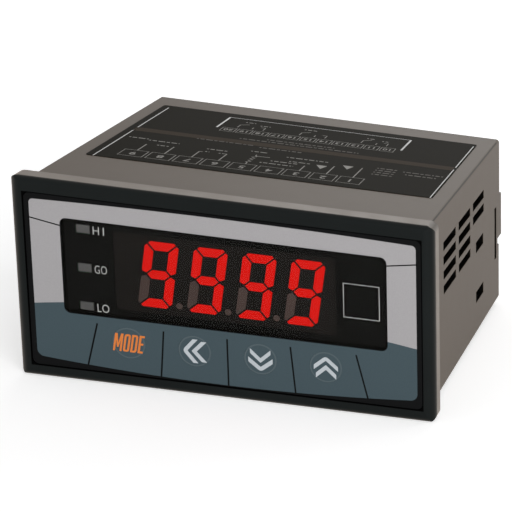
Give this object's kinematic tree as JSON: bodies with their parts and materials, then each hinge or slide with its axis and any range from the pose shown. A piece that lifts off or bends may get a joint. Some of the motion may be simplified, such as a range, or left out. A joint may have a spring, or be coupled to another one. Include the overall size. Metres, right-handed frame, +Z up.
{
  "type": "digital panel meter",
  "caption": "Digital panel meter for a standard panel cut-out: bezel with display window and key pads, vented case, screw terminals behind.",
  "frame": {"origin": "centre of the bezel's rear face, where it seats on the panel", "axes": "+Z up, +Y back into the panel along the case, +X to the right seen from the front"},
  "size_m": [0.096, 0.107, 0.048],
  "materials": {
    "bezel_plastic": "fine satin moulded ABS",
    "face_film": "printed polycarbonate film, satin",
    "smoked_lens": "smoked acrylic, semi-gloss",
    "key_cap": "printed film disc, satin",
    "switch_black": "moulded nylon",
    "module_black": "matt black face",
    "lit_segment": "red light-emitting epoxy, lit",
    "dark_segment": "unlit epoxy",
    "lamp_grey": "diffusing epoxy, unlit",
    "board_green": "solder mask over glass epoxy",
    "bright_steel": "zinc-plated steel",
    "chip_black": "moulded epoxy",
    "case_plastic": "fine-textured black-brown ABS",
    "label_black": "printed film label, satin",
    "cover_plastic": "fine-textured ABS",
    "core_steel": "stacked laminations",
    "winding_tape": "polyester tape over the winding",
    "capacitor_sleeve": "shrunk sleeve",
    "varistor_blue": "dipped epoxy",
    "fuse_brown": "moulded phenolic",
    "sink_aluminium": "extruded, anodised",
    "relay_orange": "moulded cover",
    "terminal_plastic": "moulded PBT",
    "terminal_brass": "tin-plated brass"
  },
  "bodies": {
    "meter": {"bezel": "bezel_plastic", "face_film": "face_film", "display_lens": "smoked_lens", "switch_mode": "switch_black", "switch_shift": "switch_black", "switch_down": "switch_black", "switch_up": "switch_black", "display_module": "module_black", "lit_digit_1": "lit_segment", "lit_digit_2": "lit_segment", "lit_digit_3": "lit_segment", "lit_digit_4": "lit_segment", "dark_segments": "dark_segment", "decimal_points": "dark_segment", "lamp_high": "lamp_grey", "lamp_go": "lamp_grey", "lamp_low": "lamp_grey", "display_board": "board_green", "display_screws": "bright_steel", "controller_chip": "chip_black", "link_headers": "chip_black", "case_shell": "case_plastic", "top_label": "label_black", "rear_cover": "cover_plastic", "power_board": "board_green", "signal_board": "board_green", "transformer_core": "core_steel", "transformer_bobbin": "chip_black", "transformer_winding": "winding_tape", "smoothing_capacitors": "capacitor_sleeve", "bridge_rectifier": "chip_black", "surge_varistor": "varistor_blue", "fuse": "fuse_brown", "voltage_regulator": "chip_black", "heat_sink": "sink_aluminium", "relay_high": "relay_orange", "relay_go": "relay_orange", "relay_low": "relay_orange", "converter_chip": "chip_black", "couplers": "chip_black", "lower_terminal_block": "terminal_plastic", "upper_terminal_block": "terminal_plastic", "lower_terminal_screws": "bright_steel", "upper_terminal_screws": "bright_steel", "lower_clamp_washers": "bright_steel", "upper_clamp_washers": "bright_steel", "lower_terminal_plates": "terminal_brass", "upper_terminal_plates": "terminal_brass"},
    "key_mode_body": {"key_mode": "key_cap", "plunger_mode": "switch_black"},
    "key_shift_body": {"key_shift": "key_cap", "plunger_shift": "switch_black"},
    "key_down_body": {"key_down": "key_cap", "plunger_down": "switch_black"},
    "key_up_body": {"key_up": "key_cap", "plunger_up": "switch_black"}
  },
  "joints": [
    {"name": "press_mode", "type": "slide", "parent": "meter", "child": "key_mode_body", "axis": [0, 1, 0], "range_m": [0, 0.0003], "stiffness_N_per_m": 4000, "springref_m": -0.0002},
    {"name": "press_shift", "type": "slide", "parent": "meter", "child": "key_shift_body", "axis": [0, 1, 0], "range_m": [0, 0.0003], "stiffness_N_per_m": 4000, "springref_m": -0.0002},
    {"name": "press_down", "type": "slide", "parent": "meter", "child": "key_down_body", "axis": [0, 1, 0], "range_m": [0, 0.0003], "stiffness_N_per_m": 4000, "springref_m": -0.0002},
    {"name": "press_up", "type": "slide", "parent": "meter", "child": "key_up_body", "axis": [0, 1, 0], "range_m": [0, 0.0003], "stiffness_N_per_m": 4000, "springref_m": -0.0002}
  ]
}
